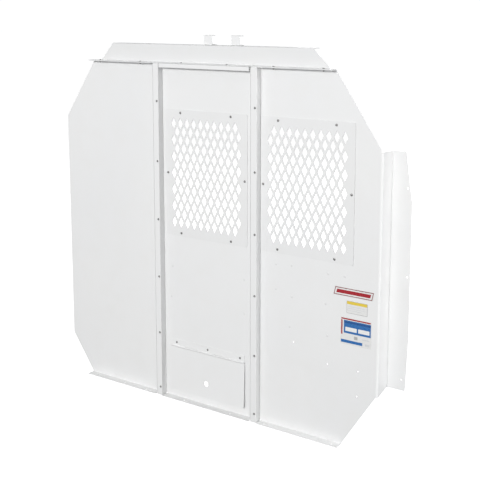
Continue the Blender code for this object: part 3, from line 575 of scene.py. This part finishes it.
place_all(["centre_screen_rivet_%d" % i for i in range(1, 7)], body_rivet, FRONT, 2.2)
place_all(["right_screen_rivet_%d" % i for i in range(1, 7)], body_rivet, FRONT, 2.2, 0.4)
place_all(["left_flange_rivet_1", "left_flange_rivet_2", "right_flange_rivet_1", "right_flange_rivet_2"], body_rivet, LEFT, 2.2)
place_all(["header_rivet_%d" % i for i in range(1, 7)], body_rivet, UP, 2.2)
place_all(["hinge_rivet_%d" % i for i in range(1, 4)], hinge_rivet, FRONT, 1.8)
place_all(["left_post_screw_%d" % i for i in range(1, 7)], post_screw, FRONT, 2.4, 0.2)
place_all(["right_post_screw_%d" % i for i in range(1, 7)], post_screw, FRONT, 2.4, 0.7)
place_all(["roof_bracket_bolt_left", "roof_bracket_bolt_right"], bracket_bolt, UP, 2.6)
for side in ("left", "right"):
    n = "roof_bracket_nut_" + side
    lo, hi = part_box(n)
    piece("detailed_" + n, bracket_nut, Matrix.Translation((lo + hi) / 2), None, "frame", n)


# ---------------------------------------------------------------- labels: thin films with rounded corners
def film_mesh(name, x0, x1, z0, z1, y0, y1, r=2.5, seg=6, skew=0.0):
    """A rounded rectangle between y0 (front) and y1, with a small front edge.
    skew leans it to the right, x per z."""
    bm = bmesh.new()
    e = 0.12

    def ring(inset, y):
        pts = []
        for cx, cz, a0 in ((x1 - r, z1 - r, 0), (x0 + r, z1 - r, 90), (x0 + r, z0 + r, 180), (x1 - r, z0 + r, 270)):
            for i in range(seg + 1):
                a = math.radians(a0 + 90 * i / seg)
                z = cz + (r - inset) * math.sin(a)
                pts.append(bm.verts.new(((cx + (r - inset) * math.cos(a) + skew * (z - z0)) * MM, y * MM, z * MM)))
        return pts

    rings = [ring(e, y0), ring(0.0, y0 + e), ring(0.0, y1)]
    bm.faces.new(rings[0])
    bm.faces.new(rings[-1][::-1])
    for a, b in zip(rings, rings[1:]):
        bridge(bm, a, b)
    return to_mesh(name, bm, 25.0)


for n, (slot_name, box_mm, areas) in FILMS.items():
    lo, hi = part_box(n)
    skew = SKEW.get(n, 0.0)
    x1 = hi.x / MM - skew * (hi.z - lo.z) / MM
    me = film_mesh("printed_" + n, lo.x / MM, x1, lo.z / MM, hi.z / MM, lo.y / MM, hi.y / MM, skew=skew)
    piece("printed_" + n, me, Matrix.Identity(4), film(slot_name, (lo.x / MM, x1, lo.z / MM, hi.z / MM, skew), areas), "frame", n)

# ---------------------------------------------------------------- plugs in the spare holes of the panels
def plug_mesh(name):
    """A push-in plug: a low dome over the hole and a hollow split shank."""
    bm = bmesh.new()
    revolve(bm, [(0.0, 0.95), (1.3, 0.92), (2.5, 0.80), (3.5, 0.58), (4.2, 0.32), (4.5, 0.12), (4.5, 0.03),
                 (4.4, 0.0), (3.15, 0.0), (3.1, -1.9), (3.3, -2.5), (3.0, -4.2), (2.5, -4.6),
                 (2.1, -4.4), (2.1, -0.6), (0.0, -0.6)], 28)
    return to_mesh(name, bm, 40.0)


plug = plug_mesh("spare_hole_plug")
turn = Vector((0, 0, 1)).rotation_difference(Vector((0, -1, 0))).to_matrix().to_4x4()
for i, (x, z) in enumerate(PLUGS):
    piece("spare_hole_plug_%d" % (i + 1), plug.copy(), Matrix.Translation(((x + 1.6) * MM, -15.02 * MM, z * MM)) @ turn,
          PAINT_PLUG, "frame")

# ---------------------------------------------------------------- rubber bumpers: moulded buttons with a rounded nose
for side in ("left", "right"):
    n = "flap_bumper_" + side
    verts = np.array([v.co for v in nodes[n].data.vertices], float)
    mid = Vector(verts.mean(0))
    # the bumper's axis is the flap's normal, tilted by the two degrees of its rest position
    tilt = math.radians(2.0)
    axis = Vector((0.0, math.cos(tilt), math.sin(tilt)))
    axis.z = -axis.z
    d = (verts - np.array(mid)) @ np.array(axis)
    if np.ptp(d) > 0.0036:
        axis.z = -axis.z
        d = (verts - np.array(mid)) @ np.array(axis)
    h = float(d.max()) / MM
    bm = bmesh.new()
    revolve(bm, [(0.0, h), (2.2, h), (3.0, h - 0.12), (3.6, h - 0.5), (3.88, h - 1.0), (3.92, h - 1.6),
                 (3.92, -h + 0.15), (3.8, -h), (0.0, -h)], 28)
    rot = Vector((0, 0, 1)).rotation_difference(axis).to_matrix().to_4x4()
    piece("moulded_" + n, to_mesh("moulded_" + n, bm, 40.0), Matrix.Translation(mid) @ rot, RUBBER, "flap", n)

# ---------------------------------------------------------------- the CAD nodes that stay
for n in ("left_panel", "centre_panel", "right_panel", "left_post", "right_post", "header_panel",
          "roof_bracket_left", "roof_bracket_right", "hinge_fixed_leaf", "hinge_moving_leaf"):
    set_material(nodes[n], PAINT)
for n in ("centre_screen", "right_screen"):
    set_material(nodes[n], PAINT_SCREEN)
set_material(nodes["access_flap"], PAINT_FLAP)
# the header gets the darker copy of the panels' paint: painted shade
set_material(nodes["header_panel"], PAINT_HEADER_SHADED)
set_material(nodes["hinge_pin"], ZINC_BRIGHT)
for n, w in (("left_panel", 0.45), ("centre_panel", 0.45), ("right_panel", 0.45), ("left_post", 0.5),
             ("right_post", 0.5), ("header_panel", 0.45), ("roof_bracket_left", 0.45), ("roof_bracket_right", 0.45),
             ("hinge_fixed_leaf", 0.2), ("hinge_moving_leaf", 0.2), ("centre_screen", 0.35), ("right_screen", 0.35),
             ("access_flap", 0.45), ("hinge_pin", 0.2)):
    soft_edges(nodes[n], w * MM)

# ---------------------------------------------------------------- floor, light and camera
bm = bmesh.new()
bmesh.ops.create_grid(bm, x_segments=8, y_segments=8, size=60.0)
floor = bpy.data.objects.new("floor", bpy.data.meshes.new("floor"))
bm.to_mesh(floor.data)
bm.free()
scene.collection.objects.link(floor)
floor.location = (0, 0, -0.0005)
fm = bpy.data.materials.new("pale_floor")
fm.use_nodes = True
ft = Tree(fm.node_tree)
fo = ft.node("ShaderNodeOutputMaterial")
fb = ft.node("ShaderNodeBsdfPrincipled")
fat = ft.node("ShaderNodeTexCoord").outputs["Object"]
ft.put(fb.inputs["Base Color"], ft.mix(ft.noise(fat, 0.8, 3.0, 0.5), rgb(0.90, 0.90, 0.90), rgb(0.88, 0.88, 0.88)))
fb.inputs["Roughness"].default_value = 0.9
fb.inputs["Specular IOR Level"].default_value = 0.1
fb.inputs["Emission Color"].default_value = rgb(1, 1, 1)
fb.inputs["Emission Strength"].default_value = 0.62
ft.put(fo.inputs["Surface"], fb.outputs[0])
set_material(floor, fm)
# the light that comes up from below is the studio's, which is dimmer than the floor looks
floor.visible_diffuse = False
floor.visible_glossy = False

world = bpy.data.worlds.new("studio")
scene.world = world
world.use_nodes = True
wt = Tree(world.node_tree)
wo = wt.node("ShaderNodeOutputWorld")
seen = wt.node("ShaderNodeBackground", {}, Color=rgb(1, 1, 1), Strength=1.05)
wco = wt.node("ShaderNodeTexCoord").outputs["Generated"]
wz = wt.node("ShaderNodeSeparateXYZ", {}, i0=wco).outputs[2]
fill = wt.node("ShaderNodeBackground", {}, Color=rgb(0.985, 0.992, 1.0), Strength=wt.span(wz, -0.30, 0.10, 0.345, 0.455))
ray = wt.node("ShaderNodeLightPath").outputs["Is Camera Ray"]
wt.put(wo.inputs["Surface"], wt.node("ShaderNodeMixShader", {}, i0=ray, i1=fill, i2=seen).outputs[0])


def area_light(name, at, to, size, power, size_y=None):
    d = bpy.data.lights.new(name, "AREA")
    d.shape = "RECTANGLE" if size_y else "SQUARE"
    d.size = size
    if size_y:
        d.size_y = size_y
    d.energy = power
    o = bpy.data.objects.new(name, d)
    scene.collection.objects.link(o)
    o.location = at
    o.rotation_mode = "QUATERNION"
    o.rotation_quaternion = (Vector(to) - Vector(at)).to_track_quat("-Z", "Y")
    return o


area_light("key", (0.5, -6.6, 3.0), (0.0, 0.0, 0.8), 1.1, 302.0)
area_light("side", (7.0, 0.35, 1.6), (0.7, 0.0, 0.75), 0.8, 205.0, 2.2)
area_light("back_fill", (-1.5, 5.5, 3.2), (0.0, 0.0, 0.7), 2.6, 110.0)

cam_data = bpy.data.cameras.new("camera")
cam = bpy.data.objects.new("camera", cam_data)
scene.collection.objects.link(cam)
cam_data.sensor_width = 36.0
cam_data.lens = 956.5 * 36.0 / 480.0
cam_data.shift_y = -0.15
cam_data.clip_start, cam_data.clip_end = 0.05, 200.0
cam.location = (2.094, -2.802, 1.508)
cam.rotation_euler = (math.radians(90.0 - 9.32), 0.0, math.radians(35.46))
scene.camera = cam

scene.view_settings.view_transform = "Standard"
scene.view_settings.look = "None"
scene.view_settings.exposure = 0.0
scene.view_settings.gamma = 1.0

bpy.context.view_layer.update()
